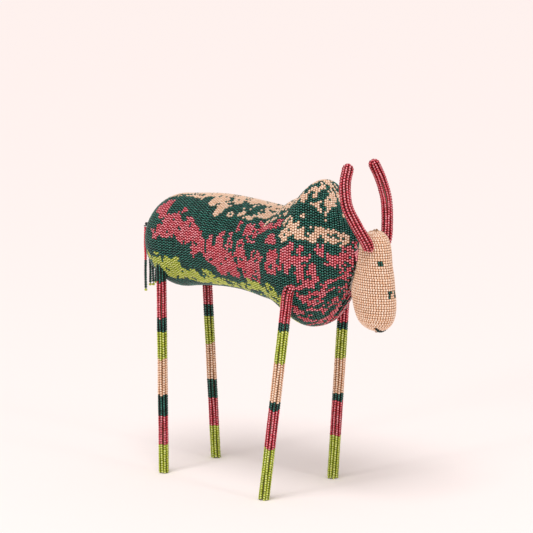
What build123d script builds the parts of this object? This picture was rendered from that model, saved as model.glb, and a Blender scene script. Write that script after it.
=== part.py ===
from build123d import *

import math
import os

# A beaded animal figure: a stuffed cloth body on a bent-wire armature, covered in rows of glass
# seed beads. +X is forward, +Y is the animal's left and +Z is up. The origin is on the floor under
# the middle of the figure's box. All sizes are in millimetres.

# ---------------------------------------------------------------- making materials
bead = 2.3  # diameter of a seed bead, and so the thickness of every beaded skin
bead_pitch = 2.1  # length of a bead along its hole
cloth = 0.6  # the sewn cotton cover under the beads
leg_wire_d = 3.2
neck_wire_d = 3.2
horn_wire_d = 2.0

# ---------------------------------------------------------------- overall sizes
spine_z = 202.0  # height of the body's middle above the floor
barrel_length = 109.0  # from the rounded rump to the crease behind the hump
crease_x = 18.0  # the plane where the barrel's beadwork meets the shoulder's

# ---------------------------------------------------------------- torso
rump_dome = 38.0  # length of the rounded rear end
rump_flat = 4.0  # radius of the gathered disc at its very end
# Share of the barrel's length, then middle above the spine line, half height and half width.
barrel_stations = [
    (0.0, 0.0, 40.8, 37.8),
    (0.34, 4.2, 40.0, 39.0),
    (0.66, 3.8, 39.2, 40.2),
    (1.0, -0.7, 40.2, 41.4),
]
# Distance in front of the crease, then middle above the spine line, half height and half width.
shoulder_stations = [
    (12.0, 0.3, 48.1, 42.7),
    (24.0, -0.4, 55.2, 43.3),
    (36.0, 4.6, 62.0, 42.0),
    (48.0, 6.2, 59.5, 34.5),
    (60.0, 2.4, 43.6, 26.0),
    (72.0, 5.6, 30.2, 19.0),
    (84.0, 9.0, 20.0, 12.5),
    (92.0, 9.5, 14.0, 8.5),
]

# ---------------------------------------------------------------- head
head_x = crease_x + 95.0
# Height above the spine line, offset from head_x, half length and half width.
head_slices = [
    (31.0, 1.5, 3.5, 3.0),
    (29.5, 1.4, 7.5, 6.0),
    (26.0, 1.1, 11.2, 8.8),
    (20.0, 0.0, 15.0, 11.0),
    (12.0, -0.7, 17.0, 12.0),
    (2.0, -0.6, 17.8, 12.5),
    (-8.0, 0.0, 19.0, 13.2),
    (-18.0, -0.6, 20.4, 14.1),
    (-27.0, 0.3, 20.5, 14.3),
    (-36.0, 1.4, 19.3, 13.6),
    (-43.5, 2.1, 16.8, 12.2),
    (-48.8, 2.8, 12.4, 9.4),
    (-51.6, 3.3, 7.6, 6.0),
    (-52.7, 3.4, 3.5, 3.0),
]
patch_beads = 2  # an eye is a square of this many beads each way
eye_place = (12.6, 7.6, 4.8)  # from head_x, from the middle, above the spine line
eye_turn = 53.6
nostril_place = (19.8, 3.6, -21.0)
nostril_turn = 20.7
nostril_width = 4.2
nostril_beads = 3
patch_depth = 8.0  # the blocks that pick the patches out reach this deep
mouth_half = 9.0
mouth_x = 8.3
mouth_z = -51.0
mouth_block_height = 12.0
neck_wire_z = 3.0  # above the spine line
neck_wire_start = 18.0  # ahead of the crease
neck_wire_end = (2.0, -34.0)  # its lower end from head_x and the spine line
neck_wire_corner = 1.0  # its corner ahead of head_x
neck_bend_r = 8.0

# ---------------------------------------------------------------- legs
front_leg_d = 10.0
rear_leg_d = 9.2
front_foot_x = crease_x + 15.2
front_foot_y = 46.4
front_lean = (0.107, -0.045)  # forward and outward travel for each unit of height
rear_foot_x = crease_x - barrel_length + 0.5
rear_foot_y = 34.6
rear_lean = (-0.034, -0.029)
front_bend_z = spine_z - 26.0  # where the front wires turn in under the shoulder
bridge_z = spine_z - 5.0  # where the front wire crosses over
bridge_y = 24.0
rear_bridge_z = spine_z - 2.0
bridge_ahead = 1.5  # the front wire's crossing stands this far ahead of its bends
front_bend_r = 20.0
bridge_bend_r = 8.0
foot_start = -1.5  # the lowest band and the wire start below the floor and are cut level
wire_start = -2.0
rear_leg_top = spine_z - 14.0  # inside the body
# Each leg's bands of colour from the foot up, with the height of each band's top. The last band runs
# up into the body.
leg_bands = {
    "front_right": [("foot_lime", 45.2), ("pastern_red", 78.7), ("lower_cuff_green", 85.3),
                    ("shin_peach", 118.9), ("knee_lime", 146.6), ("upper_cuff_green", 153.3),
                    ("thigh_red", None)],
    "front_left": [("foot_lime", 39.7), ("pastern_red", 71.3), ("lower_cuff_green", 78.3),
                   ("shin_peach", 109.4), ("knee_lime", 135.5), ("upper_cuff_green", 142.4),
                   ("thigh_red", None)],
    "rear_right": [("foot_lime", 25.6), ("pastern_red", 51.2), ("lower_cuff_green", 68.9),
                   ("shin_peach", 100.6), ("knee_lime", 125.1), ("upper_cuff_green", 136.5),
                   ("thigh_red", 168.1), ("hip_cuff_green", None)],
    "rear_left": [("foot_lime", 29.6), ("pastern_red", 54.9), ("lower_cuff_green", 72.4),
                  ("shin_peach", 104.7), ("knee_lime", 128.5), ("upper_cuff_green", 140.0),
                  ("thigh_red", None)],
}

# ---------------------------------------------------------------- horns
horn_d = 10.0
horn_skin_start = 0.4  # the beads start this share of the way along the horn's first run
horn_cross_z = 10.5  # above the spine line, where the horn wire crosses the head
# The horn's middle line from inside the head to the tip: from head_x, from the middle, above the spine.
horn_route = [
    (2.8, 5.0, horn_cross_z),
    (2.0, 13.6, 23.4),
    (-3.3, 21.5, 39.6),
    (-8.2, 26.1, 53.9),
    (-12.2, 23.8, 70.0),
    (-14.2, 17.6, 82.6),
]

# ---------------------------------------------------------------- tail
rump_x = crease_x - barrel_length - rump_dome
tail_z = spine_z + 10.0
tail_y = -7.75
anchor_d = 1.2
anchor_depth = 9.0  # how far the stitch goes into the rump
knot_length = 1.0
knot_reach = 0.4  # thread between the loop's end gap and the knot
running = 0.05  # radial clearance of the tail's thread loops
gap = 0.3  # room left between pieces that move past each other
loop_d = 2.6
loop_length = 1.6
tail_bar_d = 1.0
tail_bar_x = rump_x - 2.8
tail_bar_z = tail_z - 1.25
strand_d = bead
strand_loop_width = 1.6
bar_overhang = 1.8  # bar left outside the outer strands
tip_extra = 0.1  # an end bead is this much more in radius
tip_knot_d = 1.4
tip_knot_length = 0.6
strand_ys = [-10.5, -5.0, -1.2, 2.6]
# Each strand's route below the bar: how far forward of it and below it.
strand_routes = [
    [(0.0, 0.9), (-0.7, 14.0), (0.1, 28.0), (-0.6, 42.0), (-0.1, 56.0)],
    [(0.0, 0.9), (0.5, 13.0), (-0.3, 26.0), (0.6, 39.0), (0.2, 52.0)],
    [(0.0, 0.9), (-0.5, 13.0), (0.4, 26.0), (-0.3, 39.0), (0.5, 52.5)],
    [(0.0, 0.9), (0.6, 13.0), (-0.2, 25.5), (0.5, 38.0), (-0.2, 51.0)],
]


# ================================================================ helpers
def write(made, name):
    """Labels a finished sub-part and writes it as its own STEP file."""
    made.part.label = name
    export_step(made.part, f"parts/{name}.step")


def smooth_between(stations, share):
    """The station's values part of the way along, on a curve through all the stations."""
    k = max(i for i in range(len(stations) - 1) if stations[i][0] <= share)
    before, after = stations[k], stations[k + 1]
    span = after[0] - before[0]
    t = (share - before[0]) / span
    values = []
    for c in range(1, len(before)):
        left = stations[max(k - 1, 0)]
        right = stations[min(k + 2, len(stations) - 1)]
        slope_in = (after[c] - left[c]) / (after[0] - left[0]) * span
        slope_out = (right[c] - before[c]) / (right[0] - before[0]) * span
        values.append((2 * t**3 - 3 * t**2 + 1) * before[c] + (t**3 - 2 * t**2 + t) * slope_in
                      + (3 * t**2 - 2 * t**3) * after[c] + (t**3 - t**2) * slope_out)
    return values


def oval_loft_x(sections):
    """A solid through ovals that stand across the X axis: place, middle height, half height, half width."""
    with BuildPart() as body:
        for x, z, height, width in sections:
            with BuildSketch(Plane.YZ.offset(x)):
                with Locations((0, z)):
                    Ellipse(width, height)
        loft()
    return body.part


def torso_solid(inset):
    """The whole torso from the rump to the front of the neck, taken in by inset."""
    dome_x = crease_x - barrel_length
    _, middle, height, width = barrel_stations[0]
    start = math.asin(rump_flat / height)
    sections = []
    for k in range(7):
        turn = start + (math.pi / 2 - start) * k / 7
        x = dome_x - (rump_dome - inset) * math.cos(turn)
        rise = math.sin(turn)
        sections.append((x, spine_z + middle, (height - inset) * rise, (width - inset) * rise))
    for k in range(11):
        middle, height, width = smooth_between(barrel_stations, k / 10 * 0.9999)
        sections.append((dome_x + barrel_length * k / 10, spine_z + middle, height - inset, width - inset))
    for ahead, middle, height, width in shoulder_stations:
        sections.append((crease_x + ahead, spine_z + middle, height - inset, width - inset))
    return oval_loft_x(sections)


def head_solid(inset):
    """The head from the poll to the muzzle, taken in by inset."""
    top, bottom = head_slices[0][0], head_slices[-1][0]
    squeeze = (top - bottom - 2 * inset) / (top - bottom)
    with BuildPart() as body:
        for height, ahead, length, width in head_slices:
            level = spine_z + bottom + inset + (height - bottom) * squeeze
            with BuildSketch(Plane.XY.offset(level)):
                with Locations((head_x + ahead, 0)):
                    Ellipse(max(length - inset, 1.0), max(width - inset, 0.8))
        loft()
    return body.part


def bar_along(path, diameter):
    """A round bar swept along a path."""
    with BuildPart() as bar:
        with BuildSketch(Plane(origin=path @ 0, z_dir=path % 0)):
            Circle(diameter / 2)
        sweep(path=path)
    return bar.part


def bent_path(points, radii):
    """Straight runs joined by arcs."""
    with BuildLine() as line:
        FilletPolyline(*points, radius=radii)
    return line.line


def gentle_radii(points):
    """Arc radii that leave a straight piece in the middle of every run."""
    radii = []
    for a, b, c in zip(points, points[1:], points[2:]):
        one, two = Vector(b) - Vector(a), Vector(c) - Vector(b)
        turn = math.radians(one.get_angle(two))
        radii.append(0.45 * min(one.length, two.length) / math.tan(turn / 2))
    return radii


def slab_below(level):
    """Everything under a level."""
    with BuildPart() as slab:
        with Locations((0, 0, level - 20)):
            Box(600, 400, 40)
    return slab.part


def leg_point(leg, side, z):
    """A point of a leg's middle line."""
    if leg == "front":
        return (front_foot_x + front_lean[0] * z, side * (front_foot_y + front_lean[1] * z), z)
    return (rear_foot_x + rear_lean[0] * z, side * (rear_foot_y + rear_lean[1] * z), z)


def front_bends(leg, side):
    """Where a front leg's middle line turns in under the shoulder, and where that turn leads."""
    turn_in = leg_point(leg, side, front_bend_z)
    return turn_in, (turn_in[0] + bridge_ahead, side * bridge_y, bridge_z)


def leg_wire_path(leg):
    """The middle line of the wire that makes both legs of a pair, from below one foot to below the other."""
    if leg == "front":
        half = [leg_point(leg, -1, wire_start), *front_bends(leg, -1)]
        radii = [front_bend_r, bridge_bend_r, bridge_bend_r, front_bend_r]
    else:
        half = [leg_point(leg, -1, wire_start), leg_point(leg, -1, rear_bridge_z)]
        radii = [bridge_bend_r, bridge_bend_r]
    other = [(x, -y, z) for x, y, z in reversed(half)]
    return bent_path(half + other, radii)


# ================================================================ the solid shapes everything is cut from
os.makedirs("parts", exist_ok=True)

torso_outer = torso_solid(0)
torso_inner = torso_solid(bead)
torso_fill = torso_solid(bead + cloth)
head_outer = head_solid(0)
head_inner = head_solid(bead)
head_fill = head_solid(bead + cloth)

below_floor = slab_below(0)
below_sole = slab_below(bead)

with BuildPart() as ahead_of_crease:
    with Locations((crease_x + 100, 0, spine_z)):
        Box(200, 200, 300)

# ================================================================ armature
# Each pair of legs is one wire bent like a staple. It stands on the soles and crosses inside the body.
leg_wires = {}
leg_cores = {}
for leg, leg_d in (("front", front_leg_d), ("rear", rear_leg_d)):
    path = leg_wire_path(leg)
    with BuildPart() as leg_wire:
        add(bar_along(path, leg_wire_d))
        add(below_sole, mode=Mode.SUBTRACT)
    with BuildPart() as leg_core:
        add(bar_along(path, leg_d - 2 * bead))
        add(below_sole, mode=Mode.SUBTRACT)
    leg_wires[leg] = leg_wire.part
    leg_cores[leg] = leg_core.part
    write(leg_wire, f"{leg}_leg_wire")

# The neck wire runs forward from the shoulder and turns down inside the head.
neck_points = [
    (crease_x + neck_wire_start, 0, spine_z + neck_wire_z),
    (head_x + neck_wire_corner, 0, spine_z + neck_wire_z),
    (head_x + neck_wire_end[0], 0, spine_z + neck_wire_end[1]),
]
with BuildPart() as neck_wire:
    add(bar_along(bent_path(neck_points, neck_bend_r), neck_wire_d))
write(neck_wire, "neck_wire")

# One wire makes both horns and crosses through the head.
horn_points = [(head_x + x, -y, spine_z + z) for x, y, z in reversed(horn_route)]
horn_points += [(x, -y, z) for x, y, z in reversed(horn_points)]
with BuildPart() as horn_wire:
    add(bar_along(bent_path(horn_points, gentle_radii(horn_points)), horn_wire_d))
write(horn_wire, "horn_wire")

# ================================================================ legs
for leg, leg_d in (("front", front_leg_d), ("rear", rear_leg_d)):
    with BuildPart() as leg_wraps:
        add(leg_cores[leg])
        add(leg_wires[leg], mode=Mode.SUBTRACT)
        add(torso_outer, mode=Mode.SUBTRACT)
    write(leg_wraps, f"{leg}_leg_wraps")
    for side, side_name in ((-1, "right"), (1, "left")):
        start = Vector(*leg_point(leg, side, 0))
        along = (Vector(*leg_point(leg, side, 100)) - start).normalized()
        lower = foot_start
        for name, top in leg_bands[f"{leg}_{side_name}"]:
            plane = Plane(origin=start + along * lower, z_dir=along)
            upper = (top or rear_leg_top) / along.Z
            with BuildPart() as band:
                if top is None and leg == "front":
                    line = bent_path([tuple(plane.origin), *front_bends(leg, side)], front_bend_r)
                    add(bar_along(line, leg_d))
                else:
                    with BuildSketch(plane):
                        Circle(leg_d / 2)
                    extrude(amount=upper - lower)
                add(leg_cores[leg], mode=Mode.SUBTRACT)
                if top is None:
                    add(torso_outer, mode=Mode.SUBTRACT)
                if name == "foot_lime":
                    add(below_floor, mode=Mode.SUBTRACT)
            lower = upper
            write(band, f"{leg}_{side_name}_{name}")

# ================================================================ tail
# A stitch anchors the tail to the rump and ends in a knot.
loop_back_x = tail_bar_x - loop_length / 2
with BuildPart() as tail_anchor:
    with BuildSketch(Plane.YZ.offset(rump_x + anchor_depth)):
        with Locations((tail_y, tail_z)):
            Circle(anchor_d / 2)
    extrude(amount=-(rump_x + anchor_depth - (loop_back_x - gap - knot_reach)))
    with BuildSketch(Plane.YZ.offset(loop_back_x - gap)):
        with Locations((tail_y, tail_z)):
            Circle(anchor_d)
    extrude(amount=-knot_length)
write(tail_anchor, "tail_anchor_stitch")

# A loop turns on the stitch. The bar of twisted thread under it carries the four strands.
with BuildPart() as tail_loop:
    with BuildSketch(Plane.YZ.offset(loop_back_x)):
        with Locations((tail_y, tail_z)):
            Circle(loop_d / 2)
    extrude(amount=loop_length)
    with BuildSketch(Plane.XZ.offset(-(strand_ys[0] - bar_overhang))):
        with Locations((tail_bar_x, tail_bar_z)):
            Circle(tail_bar_d / 2)
    extrude(amount=-(strand_ys[-1] - strand_ys[0] + 2 * bar_overhang))
    with BuildSketch(Plane.YZ.offset(tail_bar_x - loop_length)):
        with Locations((tail_y, tail_z)):
            Circle(anchor_d / 2 + running)
    extrude(amount=2 * loop_length, mode=Mode.SUBTRACT)
write(tail_loop, "tail_loop_bar")

# Each strand of threaded beads hangs from the bar by its own small loop and ends in one more bead.
for number, (y, route) in enumerate(zip(strand_ys, strand_routes), 1):
    points = [(tail_bar_x + ahead, y, tail_bar_z - down) for ahead, down in route]
    radii = gentle_radii(points)
    print("tail strand", number, "radii", [round(r, 1) for r in radii])
    path = bent_path(points, radii)
    print("tail strand", number, "length", round(sum(edge.length for edge in path.edges()), 2))
    with BuildPart() as strand:
        with BuildSketch(Plane(origin=path @ 0, z_dir=path % 0)):
            Circle(strand_d / 2)
        sweep(path=path)
        with BuildSketch(Plane.XZ.offset(-(y - strand_loop_width / 2))):
            with Locations((tail_bar_x, tail_bar_z)):
                Circle(strand_d / 2)
        extrude(amount=-strand_loop_width)
        with BuildSketch(Plane.XZ.offset(-(y - strand_d))):
            with Locations((tail_bar_x, tail_bar_z)):
                Circle(tail_bar_d / 2 + running)
        extrude(amount=-2 * strand_d, mode=Mode.SUBTRACT)
    write(strand, f"tail_strand_{number}")
    with BuildPart() as tip:
        with BuildSketch(Plane(origin=path @ 1, z_dir=path % 1)):
            Circle(bead / 2 + tip_extra)
        extrude(amount=bead_pitch)
        with BuildSketch(Plane(origin=path @ 1 + (path % 1) * bead_pitch, z_dir=path % 1)):
            Circle(tip_knot_d / 2)
        extrude(amount=tip_knot_length)
    write(tip, f"tail_tip_{number}")

# ================================================================ torso
with BuildPart() as barrel:
    add(torso_outer)
    add(torso_inner, mode=Mode.SUBTRACT)
    add(ahead_of_crease.part, mode=Mode.SUBTRACT)
    add(leg_wires["rear"], mode=Mode.SUBTRACT)
    add(tail_anchor.part, mode=Mode.SUBTRACT)
write(barrel, "barrel_beadwork")

with BuildPart() as shoulder:
    add(torso_outer)
    add(torso_inner, mode=Mode.SUBTRACT)
    add(ahead_of_crease.part, mode=Mode.INTERSECT)
    add(leg_wires["front"], mode=Mode.SUBTRACT)
    add(head_outer, mode=Mode.SUBTRACT)
write(shoulder, "shoulder_beadwork")

with BuildPart() as torso_cloth:
    add(torso_inner)
    add(torso_fill, mode=Mode.SUBTRACT)
    add(leg_wires["rear"], mode=Mode.SUBTRACT)
    add(leg_wires["front"], mode=Mode.SUBTRACT)
    add(tail_anchor.part, mode=Mode.SUBTRACT)
    add(head_outer, mode=Mode.SUBTRACT)
write(torso_cloth, "torso_cloth")

with BuildPart() as torso_stuffing:
    add(torso_fill)
    add(leg_wires["rear"], mode=Mode.SUBTRACT)
    add(leg_wires["front"], mode=Mode.SUBTRACT)
    add(neck_wire.part, mode=Mode.SUBTRACT)
    add(tail_anchor.part, mode=Mode.SUBTRACT)
    add(head_outer, mode=Mode.SUBTRACT)
write(torso_stuffing, "torso_stuffing")

# ================================================================ head
# The dark beads of the eyes, nostrils and mouth sit in the head's own beadwork.
patch = patch_beads * bead


def beads_at(place, turn, width, height):
    """A block that picks a small patch out of the head's skin on each side."""
    with BuildPart() as blocks:
        for side in (-1, 1):
            middle = (head_x + place[0], side * place[1], spine_z + place[2])
            with Locations(Location(middle, (0, 0, side * turn))):
                Box(patch_depth, width, height)
    return blocks.part


eye_blocks = beads_at(eye_place, eye_turn, patch, patch_beads * bead_pitch)
nostril_blocks = beads_at(nostril_place, nostril_turn, nostril_width, nostril_beads * bead_pitch)
with BuildPart() as mouth_block:
    with Locations((head_x + mouth_x, 0, spine_z + mouth_z)):
        Box(bead, 2 * mouth_half, mouth_block_height)

with BuildPart() as head_skin:
    add(head_outer)
    add(head_inner, mode=Mode.SUBTRACT)

with BuildPart() as eyes:
    add(head_skin.part)
    add(eye_blocks, mode=Mode.INTERSECT)
write(eyes, "eyes")

with BuildPart() as nostrils:
    add(head_skin.part)
    add(nostril_blocks, mode=Mode.INTERSECT)
write(nostrils, "nostrils")

with BuildPart() as mouth:
    add(head_skin.part)
    add(mouth_block.part, mode=Mode.INTERSECT)
write(mouth, "mouth")

with BuildPart() as head_beadwork:
    add(head_skin.part)
    add(eye_blocks, mode=Mode.SUBTRACT)
    add(nostril_blocks, mode=Mode.SUBTRACT)
    add(mouth_block.part, mode=Mode.SUBTRACT)
    add(neck_wire.part, mode=Mode.SUBTRACT)
    add(horn_wire.part, mode=Mode.SUBTRACT)
write(head_beadwork, "head_beadwork")

with BuildPart() as head_cloth:
    add(head_inner)
    add(head_fill, mode=Mode.SUBTRACT)
    add(neck_wire.part, mode=Mode.SUBTRACT)
    add(horn_wire.part, mode=Mode.SUBTRACT)
write(head_cloth, "head_cloth")

with BuildPart() as head_stuffing:
    add(head_fill)
    add(neck_wire.part, mode=Mode.SUBTRACT)
    add(horn_wire.part, mode=Mode.SUBTRACT)
write(head_stuffing, "head_stuffing")

# ================================================================ horns
for side, side_name in ((-1, "right"), (1, "left")):
    points = [(head_x + x, side * y, spine_z + z) for x, y, z in horn_route]
    points[0] = tuple(Vector(*points[0]) + (Vector(*points[1]) - Vector(*points[0])) * horn_skin_start)
    path = bent_path(points, gentle_radii(points))
    with BuildPart() as horn_core:
        add(bar_along(path, horn_d - 2 * bead))
        with Locations(path @ 1):
            Sphere(horn_d / 2 - bead)
    with BuildPart() as horn_beadwork:
        add(bar_along(path, horn_d))
        with Locations(path @ 1):
            Sphere(horn_d / 2)
        add(horn_core.part, mode=Mode.SUBTRACT)
        add(head_outer, mode=Mode.SUBTRACT)
    write(horn_beadwork, f"{side_name}_horn_beadwork")
    with BuildPart() as horn_wrap:
        add(horn_core.part)
        add(horn_wire.part, mode=Mode.SUBTRACT)
        add(head_outer, mode=Mode.SUBTRACT)
    write(horn_wrap, f"{side_name}_horn_wrap")
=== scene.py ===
# %% [markdown]
# # A beaded animal, bead by bead
# The real figure is a stuffed cloth body on bent wire, covered by hand with about nineteen thousand
# glass seed beads. The frame below brings in the engineering model: smooth skins where the beadwork
# goes, the wires, and the thread loops of the tail. This notebook dresses that frame. Every bead is
# real geometry, because a bump pattern can't give the dark gaps and the round outline of a bead.

# %% The frame
import math
import random

import bmesh
import bpy
import numpy as np
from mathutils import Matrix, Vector, noise
from mathutils.bvhtree import BVHTree


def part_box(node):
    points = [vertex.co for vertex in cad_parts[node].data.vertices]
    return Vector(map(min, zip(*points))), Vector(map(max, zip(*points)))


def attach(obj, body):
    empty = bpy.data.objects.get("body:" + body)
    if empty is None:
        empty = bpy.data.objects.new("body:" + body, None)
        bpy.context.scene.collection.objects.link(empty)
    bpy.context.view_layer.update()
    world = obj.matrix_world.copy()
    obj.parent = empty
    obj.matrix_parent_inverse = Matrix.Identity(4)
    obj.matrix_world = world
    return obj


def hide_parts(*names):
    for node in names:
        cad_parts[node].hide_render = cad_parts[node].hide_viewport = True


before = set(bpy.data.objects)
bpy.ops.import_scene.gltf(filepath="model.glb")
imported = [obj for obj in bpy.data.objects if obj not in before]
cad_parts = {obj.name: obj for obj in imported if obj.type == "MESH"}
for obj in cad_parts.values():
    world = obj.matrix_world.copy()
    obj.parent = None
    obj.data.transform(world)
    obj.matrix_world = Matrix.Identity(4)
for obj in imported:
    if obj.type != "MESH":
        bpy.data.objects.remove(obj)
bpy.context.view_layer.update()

chance = random.Random(11)
MM = 0.001

# %% [markdown]
# ## Camera
# A long lens from two and a half metres keeps the legs almost parallel. The camera looks at the middle
# of the figure from its front right, a little from above.

# %% The camera
azimuth, elevation = math.radians(39.96), math.radians(10.84)
look_at = Vector((-2.7 * MM, 0, 188.7 * MM))
to_camera = Vector((math.sin(azimuth) * math.cos(elevation), -math.cos(azimuth) * math.cos(elevation),
                    math.sin(elevation)))
camera_away = 2.5
camera_data = bpy.data.cameras.new("camera")
camera_data.sensor_width = 36
camera_data.lens = 198.65
camera = bpy.data.objects.new("camera", camera_data)
camera.location = look_at + to_camera * camera_away
camera.rotation_mode = "QUATERNION"
camera.rotation_quaternion = (-to_camera).to_track_quat("-Z", "Y")
bpy.context.collection.objects.link(camera)
bpy.context.scene.camera = camera
print("camera at", tuple(round(v, 3) for v in camera.location))

# %% [markdown]
# ## Helpers for modelling by hand
# An operator works on whatever is selected, and a new primitive arrives fully selected. So everything
# is deselected first, and faces are then picked in code by their place or normal.


# %% Selecting
def nothing_selected():
    bpy.ops.object.select_all(action="DESELECT")


def select_faces(thing, test):
    """In edit mode, selects the faces that pass a test and nothing else."""
    bpy.ops.mesh.select_mode(type="FACE")
    bpy.ops.mesh.select_all(action="DESELECT")
    mesh = bmesh.from_edit_mesh(thing.data)
    for face in mesh.faces:
        face.select_set(test(face))
    bmesh.update_edit_mesh(thing.data)


# %% [markdown]
# ## One bead
# A seed bead is a slice of glass tube, tumbled hot until its edges round over. It is modelled once: an
# eight-sided cylinder, its ends inset and pushed out, and the two end faces bridged to make the hole.
# That is 32 faces. With smooth shading it reads as round at this size, and nineteen thousand of them
# stay light enough to render.

# %% The bead
bead_wide = 2.3 * MM
bead_long = 2.1 * MM


def model_bead():
    """The corners and faces of a bead one unit wide and one unit long, with its hole along Z."""
    nothing_selected()
    bpy.ops.mesh.primitive_cylinder_add(vertices=8, radius=0.52, depth=0.66, end_fill_type="NGON")
    bead = bpy.context.object
    bpy.ops.object.mode_set(mode="EDIT")
    select_faces(bead, lambda face: abs(face.normal.z) > 0.9)
    bpy.ops.mesh.inset(thickness=0.24, depth=0.16, use_individual=True)
    bpy.ops.mesh.bridge_edge_loops()
    bpy.ops.object.mode_set(mode="OBJECT")
    corners = np.array([v.co[:] for v in bead.data.vertices])
    faces = np.array([p.vertices[:] for p in bead.data.polygons])
    bpy.data.objects.remove(bead, do_unlink=True)
    return corners, faces


bead_corners, bead_faces = model_bead()
print("a bead has", len(bead_corners), "corners and", len(bead_faces), "faces, from",
      bead_corners.min(0).round(2), "to", bead_corners.max(0).round(2))

# %% [markdown]
# ## Many beads in one mesh
# Copying thousands of objects would be slow, so the bead's corners are stamped into one mesh per colour
# and place. Each stamp is turned so that its hole follows the thread and its back lies on the cloth.
# Hand-sewn beads are never quite equal: each gets its own small change of size and tilt, and a tone
# from 0 to 1 that the glass turns into lighter and darker beads. Two more values go with each corner,
# and both paint light into the colour. The shade is painted shade, high at a bead's ends and on its side
# against the cloth, where light hardly gets in. The glint is a painted highlight, high on the side that
# faces out, for the light that the lining throws back.


# %% Stringing beads into a mesh
hand_tilt = 0.05
rim_from = 0.4
rim_shade = 0.35
buried_below = 0.50
buried_over = 0.42
lit_from = 0.45
cell_margin = 0.04


class Bead:
    """One bead's place: its middle, the way its hole runs and the way it faces, with its own sizes."""

    def __init__(self, place, along, out, wide=1.0, long=1.0):
        self.place = place
        self.along = along
        self.out = out
        self.wide = wide * chance.uniform(0.9, 0.99)
        self.long = long * chance.uniform(0.93, 1.03)
        self.tone = chance.random()


def unit(rows):
    return rows / np.linalg.norm(rows, axis=1, keepdims=True)


def string_beads(name, beads, glass, slot, free=False):
    """One mesh that holds all these beads. Free ones have no cloth behind them, so no painted dark side."""
    count = len(beads)
    place = np.array([b.place for b in beads])
    along = unit(np.array([b.along for b in beads]) + jitter(count, hand_tilt))
    out = np.array([b.out for b in beads]) + jitter(count, hand_tilt)
    out = unit(out - along * (out * along).sum(1, keepdims=True))
    side = np.cross(along, out)
    wide = np.array([b.wide for b in beads])[:, None, None] * bead_wide
    long = np.array([b.long for b in beads])[:, None, None] * bead_long
    x, y, z = (bead_corners[None, :, k, None] for k in range(3))
    corners = place[:, None] + (side[:, None] * x + out[:, None] * y) * wide + along[:, None] * z * long
    each = len(bead_corners)
    faces = bead_faces[None] + (np.arange(count) * each)[:, None, None]
    mesh = bpy.data.meshes.new(name)
    mesh.vertices.add(count * each)
    mesh.vertices.foreach_set("co", corners.ravel())
    mesh.loops.add(faces.size)
    mesh.loops.foreach_set("vertex_index", faces.ravel())
    mesh.polygons.add(faces.size // 4)
    mesh.polygons.foreach_set("loop_start", np.arange(0, faces.size, 4))
    mesh.update(calc_edges=True)
    mesh.shade_smooth()
    mark_corners(mesh, beads, free)
    lay_out_uv(mesh, count)
    thing = bpy.data.objects.new(name, mesh)
    bpy.context.collection.objects.link(thing)
    mesh.materials.append(glass)
    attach(thing, "figure")
    return thing


def jitter(count, size):
    """Small random turns, three numbers for each bead."""
    return np.array([[chance.gauss(0, size) for _ in range(3)] for _ in range(count)])


def mark_corners(mesh, beads, free):
    """Gives each corner of the mesh its bead's tone, and its own painted shade and painted glint."""
    tone = mesh.attributes.new("tone", "FLOAT", "POINT")
    tone.data.foreach_set("value", np.repeat([b.tone for b in beads], len(bead_corners)))
    # Painted shade: darker at a bead's ends and on its side against the cloth, where light hardly gets in.
    rim = abs(bead_corners[:, 2]) > rim_from
    buried = 0 if free else np.clip((buried_below - bead_corners[:, 1]) / buried_over, 0, 1)
    shade = mesh.attributes.new("shade", "FLOAT", "POINT")
    shade.data.foreach_set("value", np.tile(np.clip(buried + rim_shade * rim, 0, 1), len(beads)))
    # Painted highlight: a pale glint along the side that faces out, stronger on some beads than others.
    lit = np.where((bead_corners[:, 1] > lit_from) & ~rim, 1.0, 0.0)
    glint = mesh.attributes.new("glint", "FLOAT", "POINT")
    strength = np.array([0.35 + 0.65 * chance.random() for _ in beads])
    glint.data.foreach_set("value", (strength[:, None] * lit[None]).ravel())


def lay_out_uv(mesh, count):
    """Gives each bead its own small square of the map, and each face a cell in it."""
    across = math.ceil(math.sqrt(count))
    cells = len(bead_faces)
    cell_across = math.ceil(math.sqrt(cells))
    bead_number = np.repeat(np.arange(count), cells * 4)
    face_number = np.tile(np.repeat(np.arange(cells), 4), count)
    corner_u = np.tile([0.1, 0.9, 0.9, 0.1], count * cells)
    corner_v = np.tile([0.1, 0.1, 0.9, 0.9], count * cells)
    filled = 1 - 2 * cell_margin
    in_u = (face_number % cell_across + corner_u) / cell_across
    in_v = (face_number // cell_across + corner_v) / cell_across
    u = (bead_number % across + cell_margin + filled * in_u) / across
    v = (bead_number // across + cell_margin + filled * in_v) / across
    layer = mesh.uv_layers.new(name="OFBake")
    layer.data.foreach_set("uv", np.stack([u, v], axis=1).ravel())


# %% [markdown]
# ## Glass
# Four kinds of glass are used. The green is dark and clear, so it looks nearly black between its
# highlights. The raspberry and the lime are silver-lined: a mirror inside the hole throws light back,
# which a little metal in the shader gives. The peach is pearled and stays soft. A colour ramp turns
# each bead's tone into its colour, so a few beads in every handful stand out. Then the painted glint
# pulls that colour towards a pale highlight colour, and the painted shade pulls it towards a dark one.


# %% Glass finishes
def linear(*rgb):
    """A colour picked on a screen, as the light values that a shader needs."""
    return tuple((c / 255) ** 2.2 for c in rgb) + (1.0,)


def new_finish(name):
    """A new material, with its nodes, its links and its main shader."""
    finish = bpy.data.materials.new(name)
    finish.use_nodes = True
    nodes = finish.node_tree.nodes
    return finish, nodes, finish.node_tree.links, nodes["Principled BSDF"]


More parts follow.
